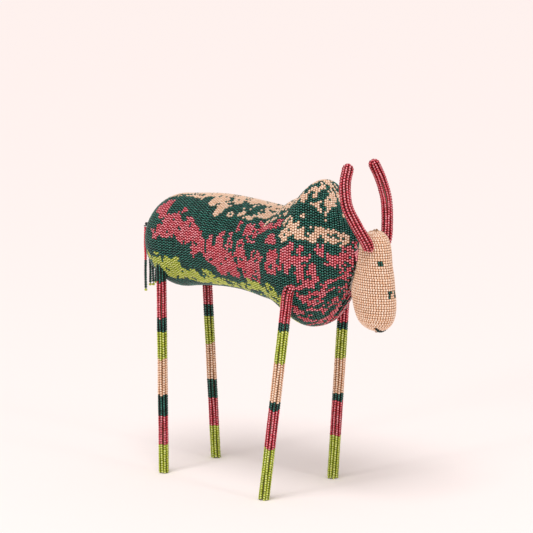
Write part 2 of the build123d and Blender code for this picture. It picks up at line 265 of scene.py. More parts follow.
def glass(name, deep, usual, bright, glint, painted_shade_colour, roughness, metal=0.0):
    """Glass from deep to bright by the bead's tone, with a painted glint colour and a painted shade colour.
    """
    finish, nodes, links, shader = new_finish(name)
    tone = nodes.new("ShaderNodeAttribute")
    tone.attribute_name = "tone"
    ramp = nodes.new("ShaderNodeValToRGB")
    stops = ramp.color_ramp.elements
    stops[0].position, stops[0].color = 0.0, deep
    stops[1].position, stops[1].color = 1.0, bright
    for position, colour in ((0.35, usual), (0.75, usual)):
        stops.new(position).color = colour
    links.new(tone.outputs["Fac"], ramp.inputs["Fac"])
    # Painted shade: the shade attribute pulls the colour towards a dark painted shade colour.
    shade = nodes.new("ShaderNodeAttribute")
    shade.attribute_name = "shade"
    shade_mix = nodes.new("ShaderNodeMix")
    shade_mix.data_type = "RGBA"
    links.new(shade.outputs["Fac"], shade_mix.inputs["Factor"])
    # Painted highlight: the glint attribute pulls the colour towards a pale highlight colour.
    painted_glint = nodes.new("ShaderNodeAttribute")
    painted_glint.attribute_name = "glint"
    shine = nodes.new("ShaderNodeMix")
    shine.data_type = "RGBA"
    links.new(painted_glint.outputs["Fac"], shine.inputs["Factor"])
    links.new(ramp.outputs["Color"], shine.inputs["A"])
    shine.inputs["B"].default_value = glint
    links.new(shine.outputs["Result"], shade_mix.inputs["A"])
    shade_mix.inputs["B"].default_value = painted_shade_colour
    links.new(shade_mix.outputs["Result"], shader.inputs["Base Color"])
    waves = nodes.new("ShaderNodeTexNoise")
    waves.inputs["Scale"].default_value = 700
    place = nodes.new("ShaderNodeTexCoord")
    links.new(place.outputs["Object"], waves.inputs["Vector"])
    bump = nodes.new("ShaderNodeBump")
    bump.inputs["Strength"].default_value = 0.25
    bump.inputs["Distance"].default_value = 0.1 * MM
    links.new(waves.outputs["Fac"], bump.inputs["Height"])
    links.new(bump.outputs["Normal"], shader.inputs["Normal"])
    shader.inputs["Roughness"].default_value = roughness
    shader.inputs["Metallic"].default_value = metal
    shader.inputs["IOR"].default_value = 1.52
    shader.inputs["Specular IOR Level"].default_value = 0.4
    return finish


# Each glass gives deep, usual and bright tones, then a painted highlight colour and a painted shade colour.
green_glass = glass("dark_green_glass", linear(2, 26, 22), linear(4, 44, 38), linear(12, 64, 56),
                    linear(60, 150, 132), linear(1, 9, 8), 0.15)
red_glass = glass("raspberry_silver_lined_glass", linear(176, 8, 32), linear(216, 22, 54),
                  linear(234, 60, 88), linear(255, 196, 204), linear(122, 6, 24), 0.2, 0.1)
peach_glass = glass("peach_pearl_glass", linear(230, 180, 140), linear(244, 200, 164),
                    linear(250, 218, 188), linear(255, 246, 234), linear(204, 148, 108), 0.3)
lime_glass = glass("lime_silver_lined_glass", linear(150, 166, 10), linear(184, 200, 28),
                   linear(208, 220, 70), linear(248, 252, 180), linear(124, 138, 14), 0.2, 0.05)
glass_of = {"green": green_glass, "red": red_glass, "peach": peach_glass, "lime": lime_glass}
slot_of = {"green": "green_beads", "red": "raspberry_beads", "peach": "peach_beads", "lime": "lime_beads"}
print("glass made:", ", ".join(glass_of))

# %% [markdown]
# ## Reading the skin of the engineering model
# The beads must lie exactly in the skin that the frame gives. So rays are sent from outside towards the
# body's middle line, and the points where they first meet the skin make rings, one after another from
# one end of the body to the other.


# %% Rings over a skin
ray_length = 0.2
widest_mend = 4


def skin_tree(*nodes):
    """Something that rays can be tested against, from CAD nodes taken together."""
    corners, faces = [], []
    for node in nodes:
        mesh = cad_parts[node].data
        start = len(corners)
        corners += [v.co[:] for v in mesh.vertices]
        faces += [[i + start for i in p.vertices] for p in mesh.polygons]
    return BVHTree.FromPolygons(corners, faces)


class Net:
    """Points on a skin: rings of spokes, with the way out from the skin at each point."""

    def __init__(self, tree, stations, spokes, directions):
        """A station is a middle and how far its rays lean; directions gives a ray's way out."""
        self.spokes = spokes
        self.points = np.zeros((len(stations), spokes, 3))
        self.reached = np.zeros((len(stations), spokes), bool)
        for i, (middle, lean) in enumerate(stations):
            for k in range(spokes):
                out = directions(2 * math.pi * k / spokes, lean)
                hit = tree.ray_cast(middle + out * ray_length, -out, ray_length)[0]
                self.reached[i, k] = hit is not None
                self.points[i, k] = hit if hit is not None else middle
        self.mend()
        ahead = np.gradient(self.points, axis=0)
        around = np.roll(self.points, -1, axis=1) - np.roll(self.points, 1, axis=1)
        normal = np.cross(ahead, around)
        normal /= np.maximum(np.linalg.norm(normal, axis=2, keepdims=True), 1e-12)
        away = ((self.points - self.points.mean(axis=1, keepdims=True)) * normal).sum(axis=2, keepdims=True)
        self.normal = np.where(away < 0, -normal, normal)

    def mend(self):
        """Fills single points that a ray missed, where it slipped between two nodes."""
        for k in range(self.spokes):
            hits = np.flatnonzero(self.reached[:, k])
            for i in np.flatnonzero(~self.reached[:, k]):
                before, after = hits[hits < i], hits[hits > i]
                if len(before) and len(after) and after[0] - before[-1] <= widest_mend:
                    t = (i - before[-1]) / (after[0] - before[-1])
                    self.points[i, k] = (1 - t) * self.points[before[-1], k] + t * self.points[after[0], k]
                    self.reached[i, k] = True


# %% [markdown]
# ## Threading strings of beads over the skin
# The beads are strung in lines that run from end to end, one bead's width apart, measured round the
# ring from a middle line. A line stops where the body narrows and starts again where it swells, so new
# lines appear over the hump, as they do on the real figure. Neighbours in a line sit a little up and a
# little down by turns, which is the mark of peyote stitch: its rows are waves, not straight.


# %% Stringing a net
side_margin = 0.6
end_margin = 0.3


def lines_over(net, start, way, below, above, width, shift):
    """Lines over a net, each as (ring, point, normal) for every ring that it crosses."""
    spokes = [(start + way * m) % net.spokes for m in range(-below, above + 1)]
    path = net.points[:, spokes]
    steps = np.linalg.norm(np.diff(path, axis=1), axis=2)
    run = np.concatenate([np.zeros((len(path), 1)), np.cumsum(steps, axis=1)], axis=1)
    run -= run[:, below:below + 1]
    most = int(np.abs(run).max() / width) + 1
    margin = side_margin * width
    for number in range(-most, most + 1):
        place = (number + shift) * width
        line = []
        for i in range(len(path)):
            spoke = int(np.argmin(np.abs(run[i] - place)))
            sound = net.reached[i, spokes[max(spoke - 1, 0):spoke + 2]].all()
            if sound and run[i, 0] + margin <= place <= run[i, -1] - margin:
                point = np.array([np.interp(place, run[i], path[i, :, k]) for k in range(3)])
                normal = np.array([np.interp(place, run[i], net.normal[i, spokes, k]) for k in range(3)])
                line.append((i, point, normal))
            else:
                if len(line) > 1:
                    yield line
                line = []
        if len(line) > 1:
            yield line


def beads_over(net, start, way, below, above, width, shift, wave, home):
    """Places for beads over a net: (point, along, normal). All lines are in step at ring home."""
    middle = net.points[:, start]
    ruler = np.concatenate([[0], np.cumsum(np.linalg.norm(np.diff(middle, axis=0), axis=1))])
    for line in lines_over(net, start, way, below, above, width, shift):
        nearest = min(range(len(line)), key=lambda i: abs(line[i][0] - home))
        length = np.cumsum([0] + [np.linalg.norm(b[1] - a[1]) for a, b in zip(line, line[1:])])
        offset = ruler[line[nearest][0]] - ruler[home] - length[nearest]
        yield from beads_on(line, length, offset, wave * width)


def beads_on(line, length, offset, wave):
    """Places for beads on one line, a bead's length apart and in step with its neighbours."""
    first = math.ceil((offset + end_margin * bead_long) / bead_long)
    last = math.floor((offset + length[-1] - end_margin * bead_long) / bead_long)
    for count in range(first, last + 1):
        at = count * bead_long - offset
        i = min(max(int(np.searchsorted(length, at)) - 1, 0), len(length) - 2)
        t = (at - length[i]) / max(length[i + 1] - length[i], 1e-9)
        (_, a, normal_a), (_, b, normal_b) = line[i], line[i + 1]
        along = (b - a) / max(np.linalg.norm(b - a), 1e-12)
        normal = (1 - t) * normal_a + t * normal_b
        aside = np.cross(normal, along) * (wave if count % 2 else -wave)
        yield (1 - t) * a + t * b + aside, along, normal


def seam_over(net, spoke):
    """Places for one line of beads that covers the seam where two sets of lines meet."""
    rings = [i for i in range(len(net.points)) if net.reached[i, spoke]]
    line = [(i, net.points[i, spoke], net.normal[i, spoke]) for i in rings]
    length = np.cumsum([0] + [np.linalg.norm(b[1] - a[1]) for a, b in zip(line, line[1:])])
    yield from beads_on(line, length, 0.0, 0.0)


# %% [markdown]
# ## The torso's net
# The rump is a dome, so its rays fan out from the dome's middle. Further on they stand square to the
# body's length. Angle 0 is the right flank, a quarter turn is the back and three quarters the belly.

# %% Net over the torso
barrel_low, barrel_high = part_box("barrel_beadwork")
shoulder_low, shoulder_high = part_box("shoulder_beadwork")
body_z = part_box("tail_anchor_stitch")[0].z - 8.8 * MM
dome_long = 38 * MM
dome_middle = Vector((barrel_low.x + dome_long, 0, body_z))
dome_rings = 36
station_count = 150
torso_spokes = 180
hump_lift = 3 * MM


def torso_ray(turn, lean):
    """A way out from the body's middle line. A lean of 1 is square to it, and 0 points straight back."""
    square = math.sin(lean * math.pi / 2)
    return Vector((-math.cos(lean * math.pi / 2), -math.cos(turn) * square, math.sin(turn) * square))


torso_tree = skin_tree("barrel_beadwork", "shoulder_beadwork")
torso_stations = [(dome_middle, k / dome_rings) for k in range(1, dome_rings)]
for k in range(station_count):
    share = k / (station_count - 1)
    x = dome_middle.x + share * (shoulder_high.x - 1 * MM - dome_middle.x)
    torso_stations.append((Vector((x, 0, body_z + hump_lift * math.sin(math.pi * share))), 1.0))
torso_net = Net(torso_tree, torso_stations, torso_spokes, torso_ray)
torso_home = dome_rings + int(0.2 * station_count)
print("torso net reaches", int(torso_net.reached.sum()), "of", torso_net.reached.size, "points")


# %% [markdown]
# ## The pattern
# The maker drew with beads: a peach back with green breaking in, a jagged green band, a long raspberry
# band with fingers, and a lime stripe low on the belly. Each area is an outline on the right flank, in
# millimetres forward of the figure's middle and degrees above the side line. The degrees are counted
# round an oval, as wide and as tall as the body is there. Later outlines lie over earlier ones. The left
# flank repeats them, shifted and warped a little, because nobody beads the same flank twice. Smooth noise
# lets green flecks into the plain areas, and mixes the colours on the hump and the chest.

# %% Outlines of the coloured areas
areas = [
    ("peach", [(-115, 70), (-104, 96), (-98, 84), (-90, 79), (-82, 75), (-75, 75), (-72, 70), (-66, 70),
               (-62, 65), (-60, 76), (-51, 78), (-51, 58), (-46, 55), (-40, 60), (-38, 41), (-32, 43),
               (-30, 52), (-27, 62), (-20, 66), (-12, 62), (-6, 66), (-3, 82), (4, 82), (5, 57), (14, 58),
               (22, 66), (30, 92), (-20, 96)]),
    ("green", [(-36, 69), (-30, 71), (-30, 79), (-35, 79)]),
    ("green", [(-26, 54), (-18, 56), (-14, 62), (-8, 66), (-7, 77), (-19, 78), (-21, 68), (-27, 66)]),
    ("peach", [(-25, 45), (-20, 40), (-17, 48), (-10, 50), (-4, 49), (2, 48), (5, 56), (-2, 58), (-9, 62),
               (-14, 55), (-23, 54)]),
    ("green", [(-9, 55), (-5, 53), (-1, 60), (-5, 66)]),
    ("red", [(-108, 44), (-100, 38), (-97, 30), (-91, 40), (-91, 62), (-97, 68), (-101, 58), (-106, 56)]),
    ("red", [(-104, 18), (-101, 6), (-96, 5), (-94, 12), (-88, 10), (-80, 9), (-74, 12), (-66, 2),
             (-60, 3), (-55, 7), (-54, -10), (-52, -18), (-49, -9), (-43, -5), (-40, -14), (-34, -21),
             (-29, -20), (-27, -34), (-19, -36), (-18, -28), (-12, -32), (-2, -32), (-1, -18), (3, -10),
             (4, -26), (10, -30), (12, -22), (20, -28), (23, -18), (24, -4), (28, 6), (22, 13), (14, 12),
             (14, 2), (10, -4), (8, 6), (6, 18), (2, 22), (-2, 18), (-3, 4), (-7, -2), (-9, 26),
             (-14, 24), (-14, 2), (-17, 4), (-17, 26), (-24, 25), (-26, 12), (-29, 2), (-32, 21),
             (-36, 10), (-41, 10), (-45, 22), (-54, 28), (-58, 34), (-64, 38), (-70, 30), (-76, 44),
             (-83, 43), (-90, 40), (-94, 26), (-98, 22)]),
    ("red", [(-74, 42), (-69, 44), (-67, 42), (-67, 46), (-71, 51), (-74, 49)]),
    ("red", [(-8, 25), (-4, 27), (-4, 44), (-8, 44)]),
    ("red", [(1, 26), (6, 26), (9, 20), (15, 22), (20, 36), (30, 34), (42, 38), (42, 44), (28, 44),
             (20, 50), (13, 54), (9, 46), (2, 44)]),
    ("red", [(28, 20), (40, 18), (41, 28), (30, 28)]),
    ("red", [(29, -12), (42, -8), (48, 4), (42, 14), (32, 12), (30, 2)]),
    ("red", [(43, -4), (52, -10), (60, -12), (61, -20), (76, -20), (78, -4), (70, -2), (70, 12), (62, 12),
             (61, 2), (58, 14), (48, 12)]),
    ("red", [(73, 8), (79, 8), (80, 22), (74, 20)]),
    ("red", [(80, -2), (88, -8), (94, -20), (98, -24), (106, -20), (106, 34), (99, 32), (96, 16),
             (92, 26), (90, 8), (82, 12)]),
    ("lime", [(-112, -12), (-104, -20), (-98, -8), (-93, -12), (-90, -24), (-86, -13), (-78, -14),
              (-70, -16), (-70, -28), (-64, -36), (-56, -32), (-54, -42), (-50, -50), (-46, -30),
              (-38, -34), (-34, -44), (-26, -42), (-16, -44), (-4, -40), (4, -36), (6, -27), (18, -28),
              (22, -34), (30, -20), (42, -24), (46, -34), (38, -44), (26, -50), (12, -56), (0, -62),
              (-16, -62), (-40, -66), (-60, -64), (-72, -52), (-88, -48), (-92, -38), (-104, -36),
              (-112, -26)]),
    ("green", [(-4, -52), (4, -48), (14, -46), (20, -42), (16, -52), (2, -60)]),
    ("green", [(-30, -44), (-20, -48), (-12, -50), (-24, -56)]),
    ("peach", [(43, 26), (48, 16), (56, 20), (62, 15), (70, 15), (76, 22), (84, 28), (92, 22), (97, 30),
               (95, 48), (86, 50), (78, 42), (70, 34), (62, 38), (56, 30), (50, 40), (44, 40)]),
    ("green", [(58, 24), (68, 26), (72, 34), (64, 36)]),
]
print(len(areas), "coloured areas")

# %% [markdown]
# ## Choosing a bead's colour
# Each bead asks which outlines hold it. The test counts how often a level line from the bead crosses an
# outline, and an odd count means inside. A small random step first keeps the edges from looking cut.
# The hump, the chest and the belly just behind it have no clear areas, so there noise alone mixes the
# colours.


# %% The colour of a torso bead
def inside_outline(outline, x, y):
    """Whether a place on the flank is inside an outline."""
    within = False
    for (ax, ay), (bx, by) in zip(outline, outline[1:] + outline[:1]):
        if (ay > y) != (by > y) and x < (bx - ax) * (y - ay) / (by - ay) + ax:
            within = not within
    return within


torso_rings = torso_net.points[dome_rings:]
ring_x = torso_rings[:, 0, 0]
ring_top, ring_bottom = torso_rings[:, :, 2].max(axis=1), torso_rings[:, :, 2].min(axis=1)
ring_half = torso_rings[:, :, 1].max(axis=1)
over_top_from = 78


def torso_colour(point):
    """The colour of a bead from its place on the torso."""
    top, bottom = np.interp(point[0], ring_x, ring_top), np.interp(point[0], ring_x, ring_bottom)
    rise = (point[2] - (top + bottom) / 2) / (top - bottom)
    spread = abs(point[1]) / np.interp(point[0], ring_x, ring_half) / 2
    height = math.degrees(math.atan2(rise, spread))
    x = point[0] * 1000
    if point[1] > 0 and height <= over_top_from:
        x += 5 * math.sin(height * 0.07) - 3
        height += 5 * math.sin(x * 0.11)
    x += chance.gauss(0, 0.4)
    height += chance.gauss(0, 0.6)
    colour = "green"
    for name, outline in areas:
        if inside_outline(outline, x, height):
            colour = name
    mottle = noise.noise(Vector((x * 0.27, height * 0.19, 3.7)))
    fleck = noise.noise(Vector((x * 0.23, height * 0.17, 6.1)))
    most_fleck = {"red": 0.24 if x > -6 else 0.42, "lime": 0.26 if x > -30 else 0.36,
                  "peach": 0.2 if x > -38 else 0.4}
    if fleck > most_fleck.get(colour, 1):
        colour = "green"
    if x > 50 and height > 48:
        colour = "peach" if mottle > -0.08 else "green"
    elif 18 < x <= 50 and height > 46:
        colour = "peach" if mottle > -0.04 else "green"
    if x > 76 and 48 < height < 84:
        colour = "green"
    if x > 52 and height < -20:
        streak = noise.noise(Vector((x * 0.13 + height * 0.05, height * 0.2, 9.2)))
        colour = "red" if streak > 0.06 else "green"
    if 18 < x < 47 and height < -50:
        colour = "lime" if mottle > 0.15 else "green"
    if -100 < x < 14 and (height > 84 or point[1] > 0 and height > 66):
        colour = "green" if fleck > 0.3 else "peach"
    return colour


# %% [markdown]
# ## Sewing the torso
# Each flank is strung from its own side line, so the rows run truest where they show most. The two
# flanks meet a little past the top, on the left, and along the belly, and one more line of beads covers
# each of these seams. The beads of one region, side and colour are one piece.

# %% The torso's beads
torso_beads = {}
sunk = bead_wide / 2
quarter = torso_net.spokes // 4
past_top = 9
line_shift = 0.5
torso_wave = 0.16
sewing = [
    ("right", beads_over(torso_net, 0, 1, quarter, quarter + past_top, bead_wide, line_shift, torso_wave,
                         torso_home)),
    ("left", beads_over(torso_net, 2 * quarter, -1, quarter, quarter - past_top, bead_wide, line_shift,
                        torso_wave, torso_home)),
    ("left", seam_over(torso_net, quarter + past_top)),
    ("right", seam_over(torso_net, 3 * quarter)),
]
for side, sewn in sewing:
    for point, along, normal in sewn:
        colour = torso_colour(point)
        region = "barrel" if point[0] < shoulder_low.x else "shoulder"
        torso_beads.setdefault((region, side, colour), []).append(Bead(point - normal * sunk, along, normal))

torso_pieces = {}
for (region, side, colour), beads in sorted(torso_beads.items()):
    name = f"{region}_{side}_{colour}_beads"
    torso_pieces[name] = string_beads(name, beads, glass_of[colour], slot_of[colour])
    print(name, len(beads), "beads")
for region in ("barrel", "shoulder"):
    for name, piece in torso_pieces.items():
        if name.startswith(region):
            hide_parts(f"{region}_beadwork")

# %% [markdown]
# ## The head
# The head is beaded from the poll down, so its threads run down the face and close up under the muzzle.
# Its net hangs from the top. The eyes and nostrils are the frame's own small patches: a bead that falls
# inside one of them is dark green. The mouth is one level row of dark green beads under the muzzle.

# %% Net over the head
head_low, head_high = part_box("head_beadwork")
head_tree = skin_tree("head_beadwork", "eyes", "nostrils", "mouth")
head_top = Vector((114.5 * MM, 0, head_high.z - 14 * MM))
head_bottom = Vector((116.5 * MM, 0, head_low.z + 16 * MM))
crown_rings, face_rings, chin_rings = 16, 50, 18
head_spokes = 120
head_home = 40
head_wave = 0.08


def head_ray(turn, lean):
    """A way out from the head's middle line. A lean of 0 points up, 1 is level and 2 points down."""
    level = math.sin(lean * math.pi / 2)
    return Vector((math.cos(turn) * level, math.sin(turn) * level, math.cos(lean * math.pi / 2)))


head_stations = [(head_top, k / crown_rings) for k in range(1, crown_rings)]
head_stations += [(head_top.lerp(head_bottom, k / face_rings), 1.0) for k in range(face_rings + 1)]
head_stations += [(head_bottom, 1 + k / chin_rings) for k in range(1, chin_rings)]
head_net = Net(head_tree, head_stations, head_spokes, head_ray)


def patch_place(node):
    """The middle of the patch on the right side, and the level way across it."""
    corners = [v.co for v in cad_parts[node].data.vertices if v.co.y < 0]
    middle = sum(corners, Vector()) / len(corners)
    out = head_tree.find_nearest(middle)[1]
    return middle, Vector((abs(out.y), abs(out.x), 0)).normalized()


patches = {"eyes": (*patch_place("eyes"), 2, 2), "nostrils": (*patch_place("nostrils"), 2, 3)}
mouth_low, mouth_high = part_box("mouth")
mouth_x = (mouth_low.x + mouth_high.x) / 2
print("head net reaches", int(head_net.reached.sum()), "of", head_net.reached.size, "points")


# %% [markdown]
# ## Sewing the head
# The head's lines start at the middle of the face and meet at the back, where one line of beads covers
# the seam. Five beads close the crown and five the muzzle, where the lines run together.


# %% The head's beads
def patch_at(point):
    """The dark patch that a bead falls in, if any."""
    on_lip = abs(point[0] - mouth_x) < bead_wide * 0.75 and point[2] < mouth_high.z
    if on_lip and abs(point[1]) < mouth_high.y:
        return "mouth"
    for node, (middle, across, wide, high) in patches.items():
        away = Vector((point[0], -abs(point[1]), point[2])) - middle
        beside = away.dot(Vector((across.x, across.y, 0)))
        level = abs(away.z) < high * bead_long / 2
        if level and abs(beside) < (wide / 2 - 0.1) * bead_wide and point[0] > middle.x - 4 * MM:
            return node
    return None


head_beads = {"head": [], "eyes": [], "nostrils": [], "mouth": []}
half_ring = head_net.spokes // 2
for point, along, normal in beads_over(head_net, 0, 1, half_ring, half_ring, bead_wide, line_shift,
                                      head_wave, head_home):
    node = patch_at(point) or "head"
    if node != "mouth":
        head_beads[node].append(Bead(point - normal * sunk, along, normal))
mouth_count = int(2 * mouth_high.y / bead_long)
for k in range(mouth_count):
    y = (k - (mouth_count - 1) / 2) * bead_long
    hit = head_tree.ray_cast(Vector((mouth_x, y, 0.1)), Vector((0, 0, 1)), 0.1)[0]
    lip = np.array(hit) + (0.5 * MM, 0, 0.2 * MM)
    head_beads["mouth"].append(Bead(lip, np.array((0, 1.0, 0)), np.array((0.5, 0, -1.0)), 1.05))
apart = 2.2
for ring, up in ((0, 1.0), (-1, -1.0)):
    pole = head_net.points[ring].mean(axis=0) - (0, 0, up * 0.5 * sunk)
    for x, y in ((0, 0), (-apart, 0), (apart, 0), (0, apart), (0, -apart)):
        place = pole + (x * MM, y * MM, -up * 0.3 * MM * (x != 0 or y != 0))
        head_beads["head"].append(Bead(place, np.array((1.0, 0, 0)), np.array((0, 0, up))))
for point, along, normal in seam_over(head_net, half_ring):
    head_beads["head"].append(Bead(point - normal * sunk, along, normal))
for part, beads in head_beads.items():
    print(part, len(beads), "beads")

head_piece = string_beads("head_peach_beads", head_beads["head"], peach_glass, "peach_beads")
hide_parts("head_beadwork")
for node in ("eyes", "nostrils", "mouth"):
    piece = string_beads(f"{node}_green_beads", head_beads[node], green_glass, "green_beads")
    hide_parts(node)

# %% [markdown]
# ## Strands round wire
# Legs and horns are wires with strands of beads laid lengthwise round them. The wire's middle line is a
# smooth line through a few points. Neighbouring strands are half a bead out of step and wander a
# little, as strands do that are only tied at their ends.


# %% Strands along a line
def smooth_line(points, steps=24):
    """Points close together on a smooth line through all the given ones."""
    p = [Vector(q) for q in points]
    p = [p[0] * 2 - p[1]] + p + [p[-1] * 2 - p[-2]]
    line = []
    for a, b, c, d in zip(p, p[1:], p[2:], p[3:]):
        for k in range(steps):
            t = k / steps
            line.append(0.5 * (2 * b + (c - a) * t + (2 * a - 5 * b + 4 * c - d) * t**2
                               + (3 * b - a - 3 * c + d) * t**3))
    return line + [p[-2]]


def strands_along(line, thickness, strands, cap):
    """Beads round a line: (run, place, along, out). With a cap, the strands close over the line's end."""
    lengths = np.concatenate([[0], np.cumsum([(b - a).length for a, b in zip(line, line[1:])])])
    radius = thickness / 2 - bead_wide / 2
    over_end = radius * math.pi / 2 if cap else 0
    phase = chance.uniform(0, 1)
    for strand in range(strands):
        run = bead_long * (0.5 + 0.5 * (strand % 2)) + chance.uniform(-0.35, 0.35) * MM
        run = max(run, bead_long / 2)
        sway, swing = chance.uniform(0, 6), chance.uniform(0.03, 0.09)
        while run < lengths[-1] + over_end - (0.9 if strand % 2 else 1.9) * MM * cap:
            on_line = min(run, lengths[-1])
            i = min(int(np.searchsorted(lengths, on_line, side="right")) - 1, len(line) - 2)
            ahead = (line[i + 1] - line[i]).normalized()
            middle = line[i] + ahead * (on_line - lengths[i])
            level = Vector((0, 1, 0)).cross(ahead).normalized()
            up = ahead.cross(level)
            turn = 2 * math.pi * (strand + phase) / strands + swing * math.sin(run * 110 + sway)
            out = level * math.cos(turn) + up * math.sin(turn)
            over = max(run - lengths[-1], 0) / radius
            way_out = out * math.cos(over) + ahead * math.sin(over)
            way_on = ahead * math.cos(over) - out * math.sin(over)
            yield run, middle + way_out * radius, way_on, way_out
            run += bead_long * chance.uniform(0.99, 1.02)


# %% [markdown]
# ## The legs
# A leg is straight from its foot up, so its middle line comes from the middles of two of its bands in
# the frame. The front legs turn in under the shoulder at the top. Each colour band is its own piece, as
# long as the frame's band.


# %% Beads along a leg
strand_wide = 0.97
rear_long = 186 * MM
rear_steps = 60


def middle_of(node):
    low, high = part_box(node)
    return (low + high) / 2


def leg_line(leg):
    """A leg's middle line from the floor up into the body."""
    lower, upper = middle_of(f"{leg}_pastern_red"), middle_of(f"{leg}_knee_lime")
    slope = (upper - lower) / (upper.z - lower.z)
    foot = lower - slope * lower.z
    if leg.startswith("rear"):
        return [foot + slope * (rear_long * k / rear_steps) for k in range(rear_steps + 1)]
    inward = Vector((0, -1 if foot.y > 0 else 1, 0))
    straight = [foot + slope * (height * MM) for height in (0, 55, 110, 162, 175)]
    turned = [foot + slope * (182 * MM) + inward * 2 * MM, foot + slope * (188 * MM) + inward * 9 * MM]
    return smooth_line(straight + turned)


band_names = ["foot_lime", "pastern_red", "lower_cuff_green", "shin_peach", "knee_lime", "upper_cuff_green",
              "thigh_red"]
for leg, thickness, strands in (("front_right", 10.0 * MM, 10), ("front_left", 10.0 * MM, 10),
                                ("rear_right", 9.2 * MM, 9), ("rear_left", 9.2 * MM, 9)):
    bands = band_names + (["hip_cuff_green"] if leg == "rear_right" else [])
    line = leg_line(leg)
    steep = (line[1] - line[0]).normalized().z
    tops = [(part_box(f"{leg}_{band}")[1].z - thickness / 2 * math.sqrt(1 - steep**2)) / steep
            for band in bands[:-1]] + [1.0]
    placed = {band: [] for band in bands}
    for run, place, along, out in strands_along(line, thickness, strands, False):
        band = bands[next(i for i, top in enumerate(tops) if run < top)]
        placed[band].append(Bead(np.array(place), np.array(along), np.array(out), strand_wide))
    for band, beads in placed.items():
        colour = band.split("_")[-1]
        piece = string_beads(f"{leg}_{band}_beads", beads, glass_of[colour], slot_of[colour])
        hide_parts(f"{leg}_{band}")
    print(leg, {band: len(beads) for band, beads in placed.items()})

# %% [markdown]
# ## The horns
# Both horns leave the head at the poll, lean back and curl in at the top. Their last beads close over
# the tip.

# %% Beads along the horns
horn_points = [(2.5, 7.2, 14.0), (2.0, 13.6, 23.4), (-3.3, 21.5, 39.6), (-8.2, 26.1, 53.9),
               (-12.2, 23.8, 70.0), (-14.2, 17.6, 82.6)]
horn_thick = 10 * MM
horn_strands = 10
poll = Vector((113.0 * MM, 0, 202 * MM))
horn_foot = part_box("right_horn_beadwork")[0].z + 3.0 * MM
for side, word in ((-1, "right"), (1, "left")):
    line = smooth_line([poll + Vector((x, side * y, z)) * MM for x, y, z in horn_points])
    beads = []
    for run, place, along, out in strands_along(line, horn_thick, horn_strands, True):
        if place.z > horn_foot:
            beads.append(Bead(np.array(place), np.array(along), np.array(out), strand_wide))
    tip_out = (line[-1] - line[-2]).normalized()
    tip = line[-1] + tip_out * (horn_thick - bead_wide) / 2
    beads.append(Bead(np.array(tip), np.array(tip_out), np.array((1.0, 0, 0)), 0.9))
    piece = string_beads(f"{word}_horn_red_beads", beads, red_glass, "raspberry_beads")
    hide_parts(f"{word}_horn_beadwork")
    print(word, "horn", len(beads), "beads")

# %% [markdown]
# ## Cloth under the beads
# Between the beads a little of the cover shows, and its colour is painted shade: a dark version of the
# glass around it, for the shade that lies between the beads. The covers are closed skins made from the
# same nets, most of a bead's thickness in, and are stuffed tight.


# %% Woven cover finish
def woven(name, attribute=None, colour=(0.02, 0.03, 0.025, 1), scale=900):
    """Plain woven cotton. Its colour can come from the piece's own colour attribute."""
    finish, nodes, links, shader = new_finish(name)
    place = nodes.new("ShaderNodeTexCoord")
    weave = nodes.new("ShaderNodeTexNoise")
    weave.inputs["Scale"].default_value = scale
    links.new(place.outputs["Object"], weave.inputs["Vector"])
    mix = nodes.new("ShaderNodeMix")
    mix.data_type = "RGBA"
    mix.blend_type = "MULTIPLY"
    mix.inputs["Factor"].default_value = 0.6
    # For the cover, the attribute holds painted shade: a dark version of the glass over it.
    if attribute:
        gap_shade = nodes.new("ShaderNodeAttribute")
        gap_shade.attribute_name = attribute
        links.new(gap_shade.outputs["Color"], mix.inputs["A"])
    else:
        mix.inputs["A"].default_value = colour
    ramp = nodes.new("ShaderNodeValToRGB")
    ramp.color_ramp.elements[0].color = (0.5, 0.5, 0.5, 1)
    links.new(weave.outputs["Fac"], ramp.inputs["Fac"])
    links.new(ramp.outputs["Color"], mix.inputs["B"])
    links.new(mix.outputs["Result"], shader.inputs["Base Color"])
    bump = nodes.new("ShaderNodeBump")
    bump.inputs["Strength"].default_value = 0.5
    bump.inputs["Distance"].default_value = 0.15 * MM
    links.new(weave.outputs["Fac"], bump.inputs["Height"])
    links.new(bump.outputs["Normal"], shader.inputs["Normal"])
    shader.inputs["Roughness"].default_value = 0.9
    return finish


# %% [markdown]
# ## Sewing the covers
# A cover joins every second point of its net with four-sided faces and closes both ends. Each corner
# keeps a painted shade colour, a dark version of the glass that lies over it, for the shade between beads.


# %% The covers
def cover_from(net, name, depth, gap_shade_at, finish):
    """A closed cloth skin a little way under a net."""
    points = (net.points - net.normal * depth)[::2, ::2]
    corners = [tuple(p) for p in points.reshape(-1, 3)]
    rows, spokes = points.shape[:2]
    faces = []
    for i in range(rows - 1):
        for k in range(spokes):
            n = (k + 1) % spokes
            faces.append((i * spokes + k, i * spokes + n, (i + 1) * spokes + n, (i + 1) * spokes + k))
    faces.append(tuple(range(spokes))[::-1])
    faces.append(tuple((rows - 1) * spokes + k for k in range(spokes)))
    mesh = bpy.data.meshes.new(name)
    mesh.from_pydata(corners, [], faces)
    mesh.update()
    # Painted shade: each corner takes a dark version of the glass over it, for the shade between the beads.
    gap_shade = mesh.color_attributes.new("gap_shade", "FLOAT_COLOR", "POINT")
    for i, corner in enumerate(corners):
        gap_shade.data[i].color = gap_shade_at(corner)
    thing = bpy.data.objects.new(name, mesh)
    bpy.context.collection.objects.link(thing)
    mesh.materials.append(finish)
    nothing_selected()
    thing.select_set(True)
    bpy.context.view_layer.objects.active = thing
    bpy.ops.object.mode_set(mode="EDIT")
    bpy.ops.mesh.select_all(action="SELECT")
    bpy.ops.mesh.normals_make_consistent(inside=False)
    bpy.ops.object.mode_set(mode="OBJECT")
    mesh.shade_smooth()
    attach(thing, "figure")
    return thing


